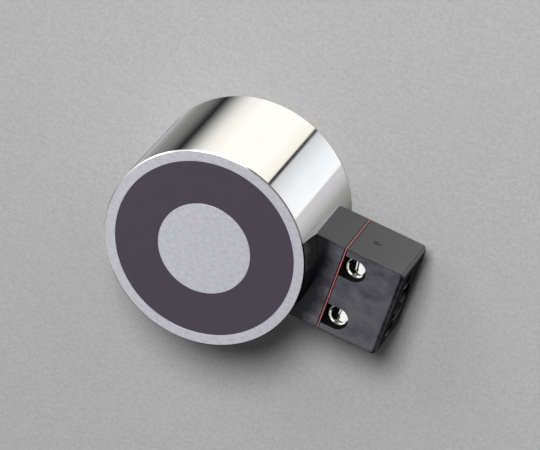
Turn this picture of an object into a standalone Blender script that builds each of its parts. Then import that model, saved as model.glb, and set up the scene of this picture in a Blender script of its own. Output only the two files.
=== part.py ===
"""Holding electromagnet with a terminal block on its side.

A turned steel pot with a centre pole holds a potted coil. The coil's two leads run through the
pot's wall and a moulded saddle to the terminal block, which one screw fixes to the pot.
Lengths are in metres. The origin is the centre of the pole face, +Z points out of that face
and +X points from the pot's axis towards the terminal block.
"""

import math

import bmesh
import bpy
from mathutils import Matrix, Vector

# Clearances between pieces
SEAT_GAP = 0.0003  # between round pieces that seat on each other
FACE_GAP = 0.0001  # between flat faces that lie on each other
PIN_GAP = 0.0002  # round a shank, lead or sleeve in its hole
RESIN_GAP = 0.0001  # between the cast resin and the steel

# Magnet body
BODY_RADIUS = 0.025
BODY_HEIGHT = 0.0334
RIM_WALL = 0.00275
GROOVE_WIDTH = 0.01075
BACK_WALL = 0.0085
FACE_CHAMFER = 0.0003
BACK_CHAMFER = 0.0008
TAPPED_HOLE_RADIUS = 0.0021
TAPPED_HOLE_DEPTH = 0.010
TAPPED_HOLE_CHAMFER = 0.0005
DRILL_POINT_ANGLE = math.radians(118)

# Coil
RESIN_DEPTH = 0.004
BOBBIN_WALL = 0.001
FLANGE_THICKNESS = 0.0012
FLANGE_CLEARANCE = 0.0005
FLANGE_OVERHANG = 0.0013  # from the winding out to the flanges' edges
TAPE_THICKNESS = 0.0004

# Leads
LEAD_RADIUS = 0.0006
SLEEVE_WALL = 0.0003
SPIGOT_WALL = 0.0009
SPIGOT_LENGTH = 0.002

# Terminal block as a whole
BASE_LENGTH = 0.00475  # from the body's side to the sheet, at the saddle's thinnest place
SHEET_THICKNESS = 0.0005
HOUSING_LENGTH = 0.0148
BLOCK_DEPTH = 0.0171
BLOCK_LOWERING = 0.0005  # from the middle of the body's height down to the block's middle
BLOCK_WALL = 0.00145  # on both sides of each terminal chamber
EDGE_RADIUS = 0.0004
END_SIDE_ROUNDING = 0.0010
END_BACK_ROUNDING = 0.0008
END_FRONT_ROUNDING = 0.0002

# Terminals
HEAD_SINK = 0.0018  # from the block's front face down to the screw heads
HEAD_RADIUS = 0.0026
HEAD_HEIGHT = 0.0022
HEAD_RIM = 0.0008  # width of the sloped rim round the slotted face
HEAD_RIM_DROP = 0.0003  # from the top of the rim down to that face's edge
HEAD_DISH = 0.0002  # hollow of the slotted face inside its edge
HEAD_EDGE = 0.0001
SHANK_RADIUS = 0.0015
SHANK_LENGTH = 0.006
SHANK_POINT = 0.0003
SLOT_WIDTH = 0.0008
SLOT_DEPTH = 0.0008  # below the middle of the dished face
RECESS_CLEARANCE = 0.0002
PLATE_LENGTH = 0.0054
PLATE_WIDTH = 0.0056
PLATE_THICKNESS = 0.001
PLATE_LIP = 0.0014
WIRE_SPACE = 0.002  # between the clamp plate and the bar
BAR_SETBACK = 0.00025  # from the housing's open side to the bar
BAR_LENGTH = 0.006
BAR_WIDTH = 0.006
BAR_THICKNESS = 0.0022
TAG_WIDTH = 0.0036
TAG_THICKNESS = 0.0008
TAG_DROP = 0.0012  # from the bar's underside to the lead's axis
TAG_MARGIN = 0.0005
LEAD_TAIL = 0.0003  # length of lead that stands out of the tag
WIRE_ENTRY_RADIUS = 0.0018
WIRE_FUNNEL = 0.0003

# Fixing screw and its washers
FIXING_HEAD_SINK = 0.0007  # from the block's end face to the screw head
FIXING_HEAD_RADIUS = 0.0035
FIXING_HEAD_HEIGHT = 0.0026
FIXING_HEAD_CROWN = 0.0002
FIXING_HEAD_EDGE = 0.0003
FIXING_SHANK_RADIUS = 0.002
FIXING_SLOT_WIDTH = 0.0012
FIXING_SLOT_DEPTH = 0.0013
PLAIN_WASHER_RADIUS = 0.0045
PLAIN_WASHER_THICKNESS = 0.0008
SPRING_WASHER_RADIUS = 0.0038
SPRING_WASHER_THICKNESS = 0.0009
SPRING_WASHER_SPLIT = math.radians(12)
SPRING_WASHER_LIFT = 0.00025

# Facets
BODY_STEPS = 72
SCREW_STEPS = 24
CORNER_STEPS = 4

# Levels and radii of the body and coil
GROOVE_RADIUS = BODY_RADIUS - RIM_WALL
POLE_RADIUS = GROOVE_RADIUS - GROOVE_WIDTH
GROOVE_FLOOR = -BODY_HEIGHT + BACK_WALL
BOBBIN_TOP = -RESIN_DEPTH - SEAT_GAP
BOBBIN_BOTTOM = GROOVE_FLOOR + SEAT_GAP
BOBBIN_BORE = POLE_RADIUS + SEAT_GAP
BOBBIN_CORE = BOBBIN_BORE + BOBBIN_WALL
FLANGE_RADIUS = GROOVE_RADIUS - FLANGE_CLEARANCE
WINDING_TOP = BOBBIN_TOP - FLANGE_THICKNESS - SEAT_GAP
WINDING_BOTTOM = BOBBIN_BOTTOM + FLANGE_THICKNESS + SEAT_GAP
WINDING_BORE = BOBBIN_CORE + SEAT_GAP
WINDING_RADIUS = FLANGE_RADIUS - FLANGE_OVERHANG
TAPE_BORE = WINDING_RADIUS + PIN_GAP
TAPE_RADIUS = TAPE_BORE + TAPE_THICKNESS

# Places of the terminal block's faces
BLOCK_MIDDLE = -BODY_HEIGHT / 2 - BLOCK_LOWERING
BLOCK_FRONT = BLOCK_MIDDLE + BLOCK_DEPTH / 2
BLOCK_BACK = BLOCK_MIDDLE - BLOCK_DEPTH / 2
BASE_END = BODY_RADIUS + BASE_LENGTH
SHEET_INNER = BASE_END + FACE_GAP
SHEET_OUTER = SHEET_INNER + SHEET_THICKNESS
HOUSING_START = SHEET_OUTER + FACE_GAP
HOUSING_END = HOUSING_START + HOUSING_LENGTH

# Places of the terminals
FIXING_HOLE_RADIUS = FIXING_SHANK_RADIUS + PIN_GAP
CHAMBER_HALF = max(BAR_WIDTH, PLATE_WIDTH) / 2 + PIN_GAP
TERMINAL_ACROSS = FIXING_HOLE_RADIUS + BLOCK_WALL + CHAMBER_HALF
BLOCK_HALF = TERMINAL_ACROSS + CHAMBER_HALF + BLOCK_WALL
BAR_START = HOUSING_START + BAR_SETBACK
BAR_STOP = BAR_START + BAR_LENGTH
TERMINAL_REACH = (BAR_START + BAR_STOP) / 2
HEAD_TOP = BLOCK_FRONT - HEAD_SINK
HEAD_UNDER = HEAD_TOP - HEAD_HEIGHT
PLATE_TOP = HEAD_UNDER - FACE_GAP
PLATE_UNDER = PLATE_TOP - PLATE_THICKNESS
BAR_TOP = PLATE_UNDER - WIRE_SPACE
BAR_UNDER = BAR_TOP - BAR_THICKNESS
WIRE_LEVEL = (PLATE_UNDER + BAR_TOP) / 2
LEAD_LEVEL = BAR_UNDER - TAG_DROP

# Passages of the leads
LEAD_HOLE_RADIUS = LEAD_RADIUS + PIN_GAP
SLEEVE_RADIUS = LEAD_HOLE_RADIUS + SLEEVE_WALL
PASSAGE_RADIUS = SLEEVE_RADIUS + PIN_GAP
SPIGOT_RADIUS = PASSAGE_RADIUS + SPIGOT_WALL
SADDLE_RADIUS = BODY_RADIUS + SEAT_GAP
TAG_BOTTOM = LEAD_LEVEL - LEAD_HOLE_RADIUS - TAG_MARGIN

# Places of the fixing screw and its washers
FIXING_LEVEL = -BODY_HEIGHT / 2
FIXING_HEAD_TOP = HOUSING_END - FIXING_HEAD_SINK
FIXING_HEAD_UNDER = FIXING_HEAD_TOP - FIXING_HEAD_HEIGHT
FIXING_LENGTH = FIXING_HEAD_UNDER - GROOVE_RADIUS
SPRING_WASHER_START = FIXING_HEAD_UNDER - FACE_GAP - SPRING_WASHER_THICKNESS - SPRING_WASHER_LIFT
PLAIN_WASHER_START = SPRING_WASHER_START - FACE_GAP - PLAIN_WASHER_THICKNESS
COUNTERBORE_FLOOR = PLAIN_WASHER_START - FACE_GAP
COUNTERBORE_RADIUS = PLAIN_WASHER_RADIUS + PIN_GAP

SIDES = {"left": 1, "right": -1}


def clear_scene():
    for obj in list(bpy.data.objects):
        bpy.data.objects.remove(obj)


def material(name, colour, roughness, metallic):
    made = bpy.data.materials.new(name)
    made.use_nodes = True
    shader = made.node_tree.nodes["Principled BSDF"]
    shader.inputs["Base Color"].default_value = (*colour, 1)
    shader.inputs["Roughness"].default_value = roughness
    shader.inputs["Metallic"].default_value = metallic
    return made


def add_object(name, shape, surface=None):
    """The closed shape as an object of this name, with its faces pointing out."""
    bmesh.ops.recalc_face_normals(shape, faces=shape.faces)
    mesh = bpy.data.meshes.new(name)
    shape.to_mesh(mesh)
    shape.free()
    if surface:
        mesh.materials.append(surface)
    made = bpy.data.objects.new(name, mesh)
    bpy.context.scene.collection.objects.link(made)
    return made


def combine(target, shape, operation):
    """Joins the shape to the target or cuts it away, for good."""
    helper = add_object("helper", shape)
    modifier = target.modifiers.new("combine", "BOOLEAN")
    modifier.solver = "EXACT"
    modifier.object = helper
    modifier.operation = operation
    with bpy.context.temp_override(object=target):
        bpy.ops.object.modifier_apply(modifier=modifier.name)
    bpy.data.meshes.remove(helper.data)


def cut(target, shape):
    combine(target, shape, "DIFFERENCE")


def join(target, shape):
    combine(target, shape, "UNION")


def shade(obj):
    """Round surfaces look smooth, flat faces stay flat and edges stay crisp."""
    obj.data.shade_smooth()
    obj.data.set_sharp_from_angle(angle=math.radians(35))
    weighted = obj.modifiers.new("flat faces", "WEIGHTED_NORMAL")
    weighted.keep_sharp = True


def turned(outline, steps, closed=True):
    """The outline's (radius, height) points turned round +Z. An open one ends on the axis."""
    shape = bmesh.new()
    points = [shape.verts.new((radius, 0, height)) for radius, height in outline]
    pairs = list(zip(points, points[1:]))
    if closed:
        pairs.append((points[-1], points[0]))
    edges = [shape.edges.new(pair) for pair in pairs]
    bmesh.ops.spin(
        shape,
        geom=points + edges,
        cent=(0, 0, 0),
        axis=(0, 0, 1),
        angle=math.tau,
        steps=steps,
        use_merge=True,
    )
    bmesh.ops.remove_doubles(shape, verts=shape.verts, dist=1e-7)
    return shape


def aimed_at_x(shape, start, across=0.0, level=0.0):
    """The shape with its +Z turned to +X and its origin moved to x = start."""
    place = Matrix.Translation((start, across, level)) @ Matrix.Rotation(math.pi / 2, 4, "Y")
    bmesh.ops.transform(shape, matrix=place, verts=shape.verts)
    return shape


def rod(radius, length, steps=SCREW_STEPS):
    """A round rod that stands on the origin along +Z."""
    return turned([(0, length), (radius, length), (radius, 0), (0, 0)], steps, closed=False)


def rod_along_x(radius, start, stop, across=0.0, level=0.0, steps=SCREW_STEPS):
    return aimed_at_x(rod(radius, stop - start, steps), start, across, level)


def box(low, high):
    shape = bmesh.new()
    bmesh.ops.create_cube(shape, size=1)
    size = [b - a for a, b in zip(low, high)]
    middle = [(a + b) / 2 for a, b in zip(low, high)]
    place = Matrix.Translation(middle) @ Matrix.Diagonal((*size, 1))
    bmesh.ops.transform(shape, matrix=place, verts=shape.verts)
    return shape


def extruded(outline, direction):
    """The flat outline of 3-D points, filled and extruded along the direction."""
    shape = bmesh.new()
    face = shape.faces.new([shape.verts.new(point) for point in outline])
    moved = bmesh.ops.extrude_face_region(shape, geom=[face])["geom"]
    corners = [item for item in moved if isinstance(item, bmesh.types.BMVert)]
    bmesh.ops.translate(shape, verts=corners, vec=direction)
    return shape


def arc(centre, radius, start, stop, steps):
    """Points of an arc between two angles, ends included."""
    angles = [start + (stop - start) * i / steps for i in range(steps + 1)]
    return [(centre[0] + radius * math.cos(a), centre[1] + radius * math.sin(a)) for a in angles]


def block_section(x, side_inset=0.0, back_inset=0.0, front_inset=0.0):
    """The block's rounded cross-section at x, with its sides drawn in by the insets."""
    half = BLOCK_HALF - side_inset - EDGE_RADIUS
    top = BLOCK_FRONT - front_inset - EDGE_RADIUS
    bottom = BLOCK_BACK + back_inset + EDGE_RADIUS
    points = []
    corners = ((half, top), (-half, top), (-half, bottom), (half, bottom))
    for quarter, corner in enumerate(corners):
        start = quarter * math.pi / 2
        points += arc(corner, EDGE_RADIUS, start, start + math.pi / 2, CORNER_STEPS // 2)
    return [Vector((x, across, level)) for across, level in points]


def lofted(sections):
    """A solid through sections of equal numbers of points, closed at both ends."""
    shape = bmesh.new()
    rings = [[shape.verts.new(point) for point in section] for section in sections]
    for first, second in zip(rings, rings[1:]):
        for i, point in enumerate(first):
            j = (i + 1) % len(first)
            shape.faces.new((point, first[j], second[j], second[i]))
    shape.faces.new(rings[0])
    shape.faces.new(rings[-1])
    return shape


def reach_at(radius, across):
    """How far a round surface of this radius reaches along X, at a distance across it."""
    return math.sqrt(radius * radius - across * across)


def make_magnet_body(surface):
    """The turned pot: rim, groove, centre pole and tapped back, with its wall drilled."""
    back = -BODY_HEIGHT
    drill_top = back + TAPPED_HOLE_DEPTH
    drill_point = TAPPED_HOLE_RADIUS / math.tan(DRILL_POINT_ANGLE / 2)
    outline = [
        (0, 0),
        (POLE_RADIUS, 0),
        (POLE_RADIUS, GROOVE_FLOOR),
        (GROOVE_RADIUS, GROOVE_FLOOR),
        (GROOVE_RADIUS, 0),
        (BODY_RADIUS - FACE_CHAMFER, 0),
        (BODY_RADIUS, -FACE_CHAMFER),
        (BODY_RADIUS, back + BACK_CHAMFER),
        (BODY_RADIUS - BACK_CHAMFER, back),
        (TAPPED_HOLE_RADIUS + TAPPED_HOLE_CHAMFER, back),
        (TAPPED_HOLE_RADIUS, back + TAPPED_HOLE_CHAMFER),
        (TAPPED_HOLE_RADIUS, drill_top),
        (0, drill_top + drill_point),
    ]
    body = add_object("magnet_body", turned(outline, BODY_STEPS, closed=False), surface)
    inside = (POLE_RADIUS + GROOVE_RADIUS) / 2
    outside = BODY_RADIUS + RIM_WALL
    cut(body, rod_along_x(FIXING_HOLE_RADIUS, inside, outside, level=FIXING_LEVEL))
    for sign in SIDES.values():
        across = sign * TERMINAL_ACROSS
        cut(body, rod_along_x(SPIGOT_RADIUS + SEAT_GAP, inside, outside, across, LEAD_LEVEL))


def make_potting_resin(surface):
    inner = POLE_RADIUS + RESIN_GAP
    outer = GROOVE_RADIUS - RESIN_GAP
    outline = [(inner, 0), (outer, 0), (outer, -RESIN_DEPTH), (inner, -RESIN_DEPTH)]
    add_object("potting_resin", turned(outline, BODY_STEPS), surface)


def make_coil_bobbin(surface):
    """The spool: a core sleeve with a flange at each end."""
    outline = [
        (BOBBIN_BORE, BOBBIN_TOP),
        (FLANGE_RADIUS, BOBBIN_TOP),
        (FLANGE_RADIUS, BOBBIN_TOP - FLANGE_THICKNESS),
        (BOBBIN_CORE, BOBBIN_TOP - FLANGE_THICKNESS),
        (BOBBIN_CORE, BOBBIN_BOTTOM + FLANGE_THICKNESS),
        (FLANGE_RADIUS, BOBBIN_BOTTOM + FLANGE_THICKNESS),
        (FLANGE_RADIUS, BOBBIN_BOTTOM),
        (BOBBIN_BORE, BOBBIN_BOTTOM),
    ]
    add_object("coil_bobbin", turned(outline, BODY_STEPS), surface)


def make_coil_winding(surface):
    outline = [
        (WINDING_BORE, WINDING_TOP),
        (WINDING_RADIUS, WINDING_TOP),
        (WINDING_RADIUS, WINDING_BOTTOM),
        (WINDING_BORE, WINDING_BOTTOM),
    ]
    add_object("coil_winding", turned(outline, BODY_STEPS), surface)


def make_winding_tape(surface):
    """The tape round the winding, with a hole where each lead comes out."""
    outline = [
        (TAPE_BORE, WINDING_TOP),
        (TAPE_RADIUS, WINDING_TOP),
        (TAPE_RADIUS, WINDING_BOTTOM),
        (TAPE_BORE, WINDING_BOTTOM),
    ]
    tape = add_object("winding_tape", turned(outline, BODY_STEPS), surface)
    for sign in SIDES.values():
        across = sign * TERMINAL_ACROSS
        cut(tape, rod_along_x(LEAD_HOLE_RADIUS, WINDING_BORE, BODY_RADIUS, across, LEAD_LEVEL))


def make_leads(wire_surface, sleeve_surface):
    """Each lead runs straight from the winding to its solder tag, sleeved as far as the tag."""
    wire_start = reach_at(WINDING_RADIUS, TERMINAL_ACROSS - LEAD_RADIUS) + PIN_GAP
    wire_stop = BAR_START + TAG_THICKNESS + LEAD_TAIL
    sleeve_start = reach_at(TAPE_RADIUS, TERMINAL_ACROSS - SLEEVE_RADIUS) + SEAT_GAP
    sleeve_length = BAR_START - PIN_GAP - sleeve_start
    outline = [
        (LEAD_HOLE_RADIUS, sleeve_length),
        (SLEEVE_RADIUS, sleeve_length),
        (SLEEVE_RADIUS, 0),
        (LEAD_HOLE_RADIUS, 0),
    ]
    for side, sign in SIDES.items():
        across = sign * TERMINAL_ACROSS
        wire = rod_along_x(LEAD_RADIUS, wire_start, wire_stop, across, LEAD_LEVEL)
        add_object(f"lead_wire_{side}", wire, wire_surface)
        tube = aimed_at_x(turned(outline, SCREW_STEPS), sleeve_start, across, LEAD_LEVEL)
        add_object(f"lead_sleeve_{side}", tube, sleeve_surface)


def make_block_base(surface):
    """The moulded saddle, with a spigot round each lead that seats in the pot's wall."""
    start = reach_at(BODY_RADIUS, BLOCK_HALF)
    base = add_object("block_base", lofted([block_section(start), block_section(BASE_END)]), surface)
    saddle = rod(SADDLE_RADIUS, BODY_HEIGHT, BODY_STEPS)
    bmesh.ops.translate(saddle, verts=saddle.verts, vec=(0, 0, -BODY_HEIGHT))
    cut(base, saddle)
    spigot_start = reach_at(BODY_RADIUS, TERMINAL_ACROSS) - SPIGOT_LENGTH
    spigot_stop = (BODY_RADIUS + BASE_END) / 2
    for sign in SIDES.values():
        across = sign * TERMINAL_ACROSS
        join(base, rod_along_x(SPIGOT_RADIUS, spigot_start, spigot_stop, across, LEAD_LEVEL))
        cut(base, rod_along_x(PASSAGE_RADIUS, POLE_RADIUS, HOUSING_END, across, LEAD_LEVEL))
    cut(base, rod_along_x(FIXING_HOLE_RADIUS, POLE_RADIUS, HOUSING_END, level=FIXING_LEVEL))


def make_insulating_sheet(surface):
    """The sheet that closes the housing's open side, with the same outline as the block."""
    shape = lofted([block_section(SHEET_INNER), block_section(SHEET_OUTER)])
    sheet = add_object("insulating_sheet", shape, surface)
    for sign in SIDES.values():
        across = sign * TERMINAL_ACROSS
        cut(sheet, rod_along_x(PASSAGE_RADIUS, BODY_RADIUS, HOUSING_END, across, LEAD_LEVEL))
    cut(sheet, rod_along_x(FIXING_HOLE_RADIUS, BODY_RADIUS, HOUSING_END, level=FIXING_LEVEL))


def housing_blank():
    """The housing's outer form, whose end face has soft edges."""
    straight = HOUSING_END - END_BACK_ROUNDING
    sections = [block_section(HOUSING_START), block_section(straight)]
    for i in range(1, CORNER_STEPS + 1):
        turn = math.pi / 2 * i / CORNER_STEPS
        inset = 1 - math.cos(turn)
        sections.append(
            block_section(
                straight + END_BACK_ROUNDING * math.sin(turn),
                END_SIDE_ROUNDING * inset,
                END_BACK_ROUNDING * inset,
                END_FRONT_ROUNDING * inset,
            )
        )
    return lofted(sections)


def screw_recess(across):
    """The U-shaped well over a terminal screw, open at the front and towards the sheet."""
    radius = HEAD_RADIUS + RECESS_CLEARANCE
    round_end = arc((TERMINAL_REACH, across), radius, -math.pi / 2, math.pi / 2, SCREW_STEPS // 2)
    open_end = HOUSING_START - SHEET_THICKNESS
    outline = [(open_end, across - radius), *round_end, (open_end, across + radius)]
    floor = [Vector((x, y, PLATE_UNDER)) for x, y in outline]
    return extruded(floor, Vector((0, 0, BLOCK_FRONT - PLATE_UNDER + EDGE_RADIUS)))


def wire_entry(across):
    """A round hole from the end face to the terminal's chamber, with a funnel at its mouth."""
    length = HOUSING_END - TERMINAL_REACH
    outline = [
        (0, length + WIRE_FUNNEL),
        (WIRE_ENTRY_RADIUS + 2 * WIRE_FUNNEL, length + WIRE_FUNNEL),
        (WIRE_ENTRY_RADIUS, length - WIRE_FUNNEL),
        (WIRE_ENTRY_RADIUS, 0),
        (0, 0),
    ]
    shape = turned(outline, SCREW_STEPS, closed=False)
    return aimed_at_x(shape, TERMINAL_REACH, across, WIRE_LEVEL)


def terminal_chamber(across):
    """The square room behind the sheet that holds the bar and the clamp plate."""
    low = (HOUSING_START - SHEET_THICKNESS, across - CHAMBER_HALF, BAR_UNDER - FACE_GAP)
    high = (BAR_STOP + PIN_GAP, across + CHAMBER_HALF, PLATE_TOP + SEAT_GAP)
    return box(low, high)


def tag_pocket(across):
    """The narrower room below the bar, for the tag, the lead and the screw's point."""
    half = TAG_WIDTH / 2 + PIN_GAP
    low = (HOUSING_START - SHEET_THICKNESS, across - half, TAG_BOTTOM - PIN_GAP)
    high = (TERMINAL_REACH + half, across + half, BAR_TOP)
    return box(low, high)


def make_terminal_housing(surface):
    """The moulded block: wells, chambers, tag pockets, wire entries and a counterbore."""
    housing = add_object("terminal_housing", housing_blank(), surface)
    for sign in SIDES.values():
        for hollow in (screw_recess, terminal_chamber, tag_pocket, wire_entry):
            cut(housing, hollow(sign * TERMINAL_ACROSS))
    beyond = HOUSING_END + EDGE_RADIUS
    cut(housing, rod_along_x(COUNTERBORE_RADIUS, COUNTERBORE_FLOOR, beyond, level=FIXING_LEVEL))
    cut(housing, rod_along_x(FIXING_HOLE_RADIUS, BODY_RADIUS, beyond, level=FIXING_LEVEL))


def pan_top(radius, crown, edge):
    """Outline of a slightly domed head top, from its middle out to its side."""
    flat = radius - edge
    points = []
    for i in range(CORNER_STEPS):
        share = i / CORNER_STEPS
        points.append((flat * share, -crown * share * share))
    points += reversed(arc((flat, -crown - edge), edge, 0, math.pi / 2, CORNER_STEPS))
    return points


def dished_top():
    """Outline of a head top whose face is hollow inside a raised, sloped rim."""
    face = HEAD_RADIUS - HEAD_RIM
    points = []
    for i in range(CORNER_STEPS + 1):
        share = i / CORNER_STEPS
        points.append((face * share, HEAD_DISH * (share * share - 1) - HEAD_RIM_DROP))
    points += [
        (HEAD_RADIUS - 2 * HEAD_EDGE, 0),
        (HEAD_RADIUS - HEAD_EDGE, 0),
        (HEAD_RADIUS, -HEAD_EDGE),
    ]
    return points


def screw_outline(top, head_radius, head_height, shank_radius, length):
    """Half of a screw's outline, from the top of its head down to its point."""
    return top + [
        (head_radius, -head_height),
        (shank_radius, -head_height),
        (shank_radius, -head_height - length + SHANK_POINT),
        (shank_radius - SHANK_POINT, -head_height - length),
        (0, -head_height - length),
    ]


def slotted(screw, width, depth, reach):
    """Cuts the screwdriver slot across the head, whose top is at the screw's origin."""
    cut(screw, box((-width / 2, -reach, -depth), (width / 2, reach, depth)))


def make_terminal_screws(surface):
    outline = screw_outline(dished_top(), HEAD_RADIUS, HEAD_HEIGHT, SHANK_RADIUS, SHANK_LENGTH)
    depth = HEAD_RIM_DROP + HEAD_DISH + SLOT_DEPTH
    reach = HEAD_RADIUS - HEAD_RIM
    for side, sign in SIDES.items():
        shape = turned(outline, SCREW_STEPS, closed=False)
        screw = add_object(f"terminal_screw_{side}", shape, surface)
        slotted(screw, SLOT_WIDTH, depth, reach)
        screw.location = (TERMINAL_REACH, sign * TERMINAL_ACROSS, HEAD_TOP)


def make_clamp_plates(surface):
    """A plate under each screw head, with a lip down each side that keeps the wire in."""
    outer = PLATE_WIDTH / 2
    inner = outer - PLATE_THICKNESS
    lip = PLATE_UNDER - PLATE_LIP
    outline = [
        (outer, PLATE_TOP),
        (-outer, PLATE_TOP),
        (-outer, lip),
        (-inner, lip),
        (-inner, PLATE_UNDER),
        (inner, PLATE_UNDER),
        (inner, lip),
        (outer, lip),
    ]
    start = TERMINAL_REACH - PLATE_LENGTH / 2
    for side, sign in SIDES.items():
        across = sign * TERMINAL_ACROSS
        section = [Vector((start, across + y, z)) for y, z in outline]
        shape = extruded(section, Vector((PLATE_LENGTH, 0, 0)))
        plate = add_object(f"clamp_plate_{side}", shape, surface)
        hole = rod(SHANK_RADIUS + PIN_GAP, HEAD_HEIGHT + PLATE_THICKNESS + WIRE_SPACE)
        bmesh.ops.translate(hole, verts=hole.verts, vec=(TERMINAL_REACH, across, BAR_TOP))
        cut(plate, hole)


def make_terminal_bars(surface):
    """A tapped bar under each plate, with a tag that turns down to the lead."""
    for side, sign in SIDES.items():
        across = sign * TERMINAL_ACROSS
        low = (BAR_START, across - BAR_WIDTH / 2, BAR_UNDER)
        high = (BAR_STOP, across + BAR_WIDTH / 2, BAR_TOP)
        bar = add_object(f"terminal_bar_{side}", box(low, high), surface)
        low = (BAR_START, across - TAG_WIDTH / 2, TAG_BOTTOM)
        high = (BAR_START + TAG_THICKNESS, across + TAG_WIDTH / 2, BAR_UNDER + BAR_THICKNESS / 2)
        join(bar, box(low, high))
        tapped = rod(SHANK_RADIUS + PIN_GAP, BAR_THICKNESS + 2 * WIRE_SPACE)
        lowest = (TERMINAL_REACH, across, BAR_UNDER - WIRE_SPACE)
        bmesh.ops.translate(tapped, verts=tapped.verts, vec=lowest)
        cut(bar, tapped)
        beyond = BAR_START + 2 * TAG_THICKNESS
        cut(bar, rod_along_x(LEAD_HOLE_RADIUS, SHEET_INNER, beyond, across, LEAD_LEVEL))


def make_fixing_screw(surface):
    top = pan_top(FIXING_HEAD_RADIUS, FIXING_HEAD_CROWN, FIXING_HEAD_EDGE)
    outline = screw_outline(
        top, FIXING_HEAD_RADIUS, FIXING_HEAD_HEIGHT, FIXING_SHANK_RADIUS, FIXING_LENGTH
    )
    screw = add_object("fixing_screw", turned(outline, SCREW_STEPS, closed=False), surface)
    slotted(screw, FIXING_SLOT_WIDTH, FIXING_SLOT_DEPTH, 2 * FIXING_HEAD_RADIUS)
    screw.location = (FIXING_HEAD_TOP, 0, FIXING_LEVEL)
    screw.rotation_euler = (0, math.pi / 2, 0)


def make_plain_washer(surface):
    outline = [
        (FIXING_HOLE_RADIUS, PLAIN_WASHER_THICKNESS),
        (PLAIN_WASHER_RADIUS, PLAIN_WASHER_THICKNESS),
        (PLAIN_WASHER_RADIUS, 0),
        (FIXING_HOLE_RADIUS, 0),
    ]
    shape = aimed_at_x(turned(outline, SCREW_STEPS), PLAIN_WASHER_START, level=FIXING_LEVEL)
    add_object("plain_washer", shape, surface)


def make_spring_washer(surface):
    """A split ring whose ends stand slightly apart along the screw."""
    outline = [
        (FIXING_HOLE_RADIUS, SPRING_WASHER_THICKNESS),
        (SPRING_WASHER_RADIUS, SPRING_WASHER_THICKNESS),
        (SPRING_WASHER_RADIUS, 0),
        (FIXING_HOLE_RADIUS, 0),
    ]
    sections = []
    for i in range(SCREW_STEPS + 1):
        share = i / SCREW_STEPS
        turn = Matrix.Rotation((math.tau - SPRING_WASHER_SPLIT) * share, 4, "Z")
        rise = SPRING_WASHER_LIFT * share
        sections.append([turn @ Vector((radius, 0, height + rise)) for radius, height in outline])
    shape = aimed_at_x(lofted(sections), SPRING_WASHER_START, level=FIXING_LEVEL)
    add_object("spring_washer", shape, surface)


def main():
    clear_scene()
    nickel = material("nickel_plate", (0.78, 0.77, 0.74), 0.18, 1.0)
    screw_nickel = material("screw_nickel", (0.80, 0.78, 0.72), 0.16, 1.0)
    resin = material("black_resin", (0.075, 0.068, 0.085), 0.45, 0.0)
    black = material("black_moulding", (0.045, 0.044, 0.052), 0.42, 0.0)
    red = material("red_sheet", (0.55, 0.05, 0.055), 0.5, 0.0)
    spool = material("spool_moulding", (0.62, 0.58, 0.48), 0.5, 0.0)
    copper = material("copper_winding", (0.62, 0.28, 0.13), 0.35, 1.0)
    tape = material("yellow_tape", (0.72, 0.56, 0.12), 0.4, 0.0)
    tinned = material("tinned_lead", (0.68, 0.67, 0.64), 0.3, 1.0)
    sleeve = material("sleeve_moulding", (0.12, 0.12, 0.13), 0.5, 0.0)
    brass = material("brass", (0.72, 0.56, 0.24), 0.28, 1.0)
    zinc = material("zinc_plate", (0.66, 0.67, 0.68), 0.28, 1.0)

    make_magnet_body(nickel)
    make_potting_resin(resin)
    make_coil_bobbin(spool)
    make_coil_winding(copper)
    make_winding_tape(tape)
    make_leads(tinned, sleeve)
    make_block_base(black)
    make_insulating_sheet(red)
    make_terminal_housing(black)
    make_terminal_screws(screw_nickel)
    make_clamp_plates(zinc)
    make_terminal_bars(brass)
    make_fixing_screw(zinc)
    make_plain_washer(zinc)
    make_spring_washer(zinc)
    for obj in bpy.data.objects:
        shade(obj)


main()
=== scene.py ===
import math

import bmesh
import bpy
from mathutils import Matrix, Vector


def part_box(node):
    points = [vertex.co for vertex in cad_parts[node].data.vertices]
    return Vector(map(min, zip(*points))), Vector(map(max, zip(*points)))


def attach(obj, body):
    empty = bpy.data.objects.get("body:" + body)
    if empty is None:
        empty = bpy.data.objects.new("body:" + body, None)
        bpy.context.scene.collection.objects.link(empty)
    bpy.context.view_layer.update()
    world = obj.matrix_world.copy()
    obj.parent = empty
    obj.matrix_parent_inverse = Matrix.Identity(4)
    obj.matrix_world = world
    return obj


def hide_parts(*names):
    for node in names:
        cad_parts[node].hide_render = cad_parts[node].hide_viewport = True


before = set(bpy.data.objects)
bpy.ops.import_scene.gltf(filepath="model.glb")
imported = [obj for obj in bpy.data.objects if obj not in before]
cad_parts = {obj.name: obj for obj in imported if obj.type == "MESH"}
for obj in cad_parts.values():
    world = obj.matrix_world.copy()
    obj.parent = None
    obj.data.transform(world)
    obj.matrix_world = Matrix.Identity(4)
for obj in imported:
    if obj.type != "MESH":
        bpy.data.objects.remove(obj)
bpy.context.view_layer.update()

# Sizes in metres, from the frame's own solids where they give them
body_low, body_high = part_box("magnet_body")
sheet_low, sheet_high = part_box("insulating_sheet")
housing_low, housing_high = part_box("terminal_housing")
BODY_RADIUS = body_high.x
BODY_HEIGHT = -body_low.z
RIM_INNER = 0.02225
POLE_RADIUS = 0.0115
GROOVE_FLOOR = -0.0249
BLOCK_HALF = housing_high.y
BLOCK_FRONT = housing_high.z
BLOCK_BACK = housing_low.z
BLOCK_END = housing_high.x
BASE_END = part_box("block_base")[1].x
FIXING_LEVEL = -BODY_HEIGHT / 2
LEAD_LEVEL = sum(corner.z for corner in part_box("lead_wire_left")) / 2
WIRE_LEVEL = -0.01475

# Radii of the holes that run through several pieces
FIXING_HOLE = 0.0022
LEAD_PASSAGE = 0.0013

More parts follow.
